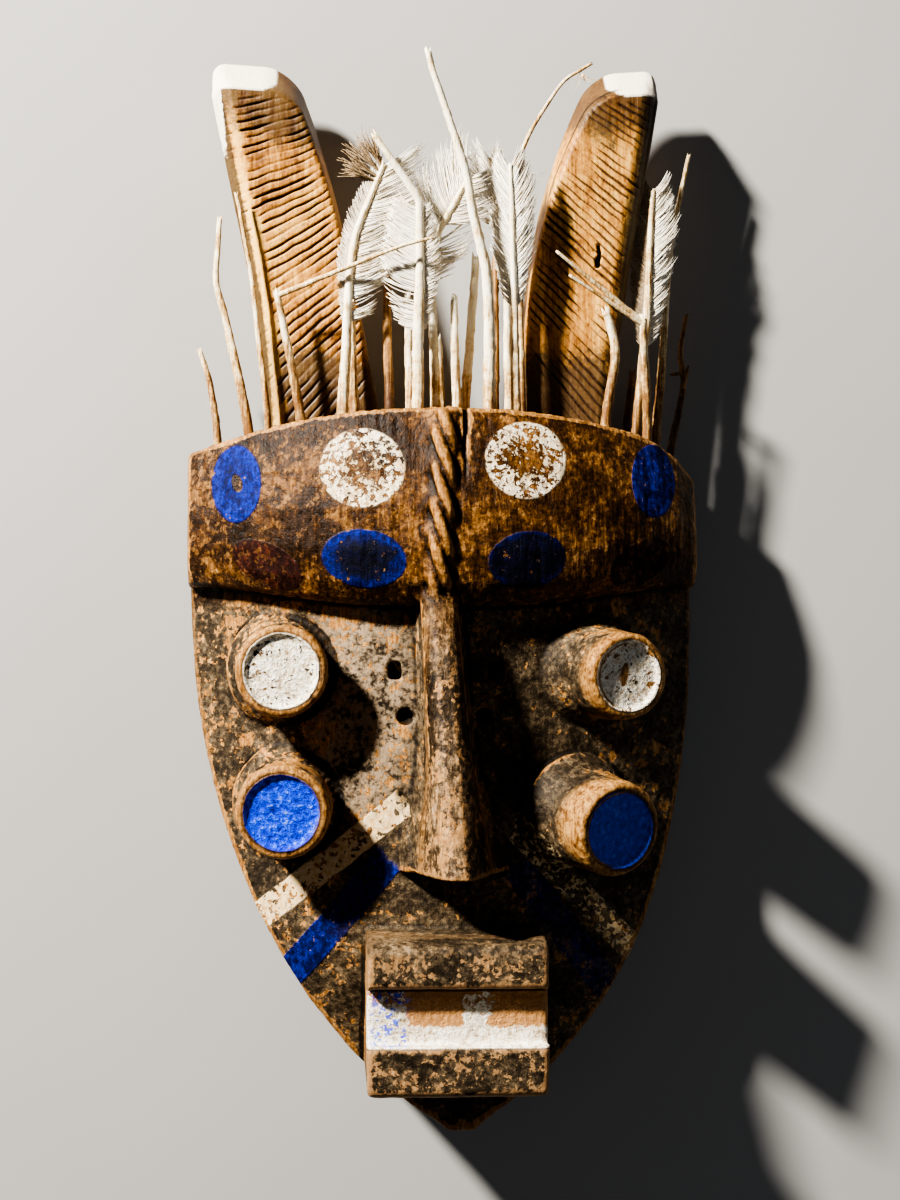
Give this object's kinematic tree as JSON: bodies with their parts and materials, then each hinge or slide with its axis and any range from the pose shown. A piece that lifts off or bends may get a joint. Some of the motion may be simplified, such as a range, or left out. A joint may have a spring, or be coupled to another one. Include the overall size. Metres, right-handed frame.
{
  "type": "grebo mask",
  "caption": "Carved wooden face mask with tubular eyes, a block mouth, a rolled brow, two grooved horns and a crest of worn feathers, lying on its back.",
  "frame": {"origin": "middle of the bounding box, on the plane of the back rim", "axes": "+Z out of the face, +Y from the chin to the horns, +X to the viewer's right"},
  "size_m": [0.2468, 0.5189, 0.122],
  "materials": {
    "carved_wood": "hand-carved hardwood, dark worn patina with chalky white, blue and dark red paint",
    "quill": "bare ivory-coloured feather shaft, matte and split",
    "feather": "cream feather with a pale shaft, worn and ragged",
    "brown_stem": "brown dry stem"
  },
  "bodies": {
    "root": {"feather_bent": "feather", "feather_downy": "feather", "feather_far_right": "feather", "feather_left": "feather", "feather_middle": "feather", "feather_right": "feather", "mask": "carved_wood", "quill_centre_brown": "brown_stem", "quill_centre_short": "quill", "quill_centre_split": "quill", "quill_curved": "quill", "quill_left_crossed": "quill", "quill_left_outer": "quill", "quill_left_tall": "quill", "quill_left_thin": "quill", "quill_long": "quill", "quill_middle": "quill", "quill_middle_bright": "quill", "quill_middle_stub": "quill", "quill_right_bent": "quill", "quill_right_brown": "brown_stem", "quill_right_inner": "quill", "quill_right_snapped": "quill", "quill_right_tall": "quill", "twig_right": "brown_stem"}
  },
  "joints": []
}
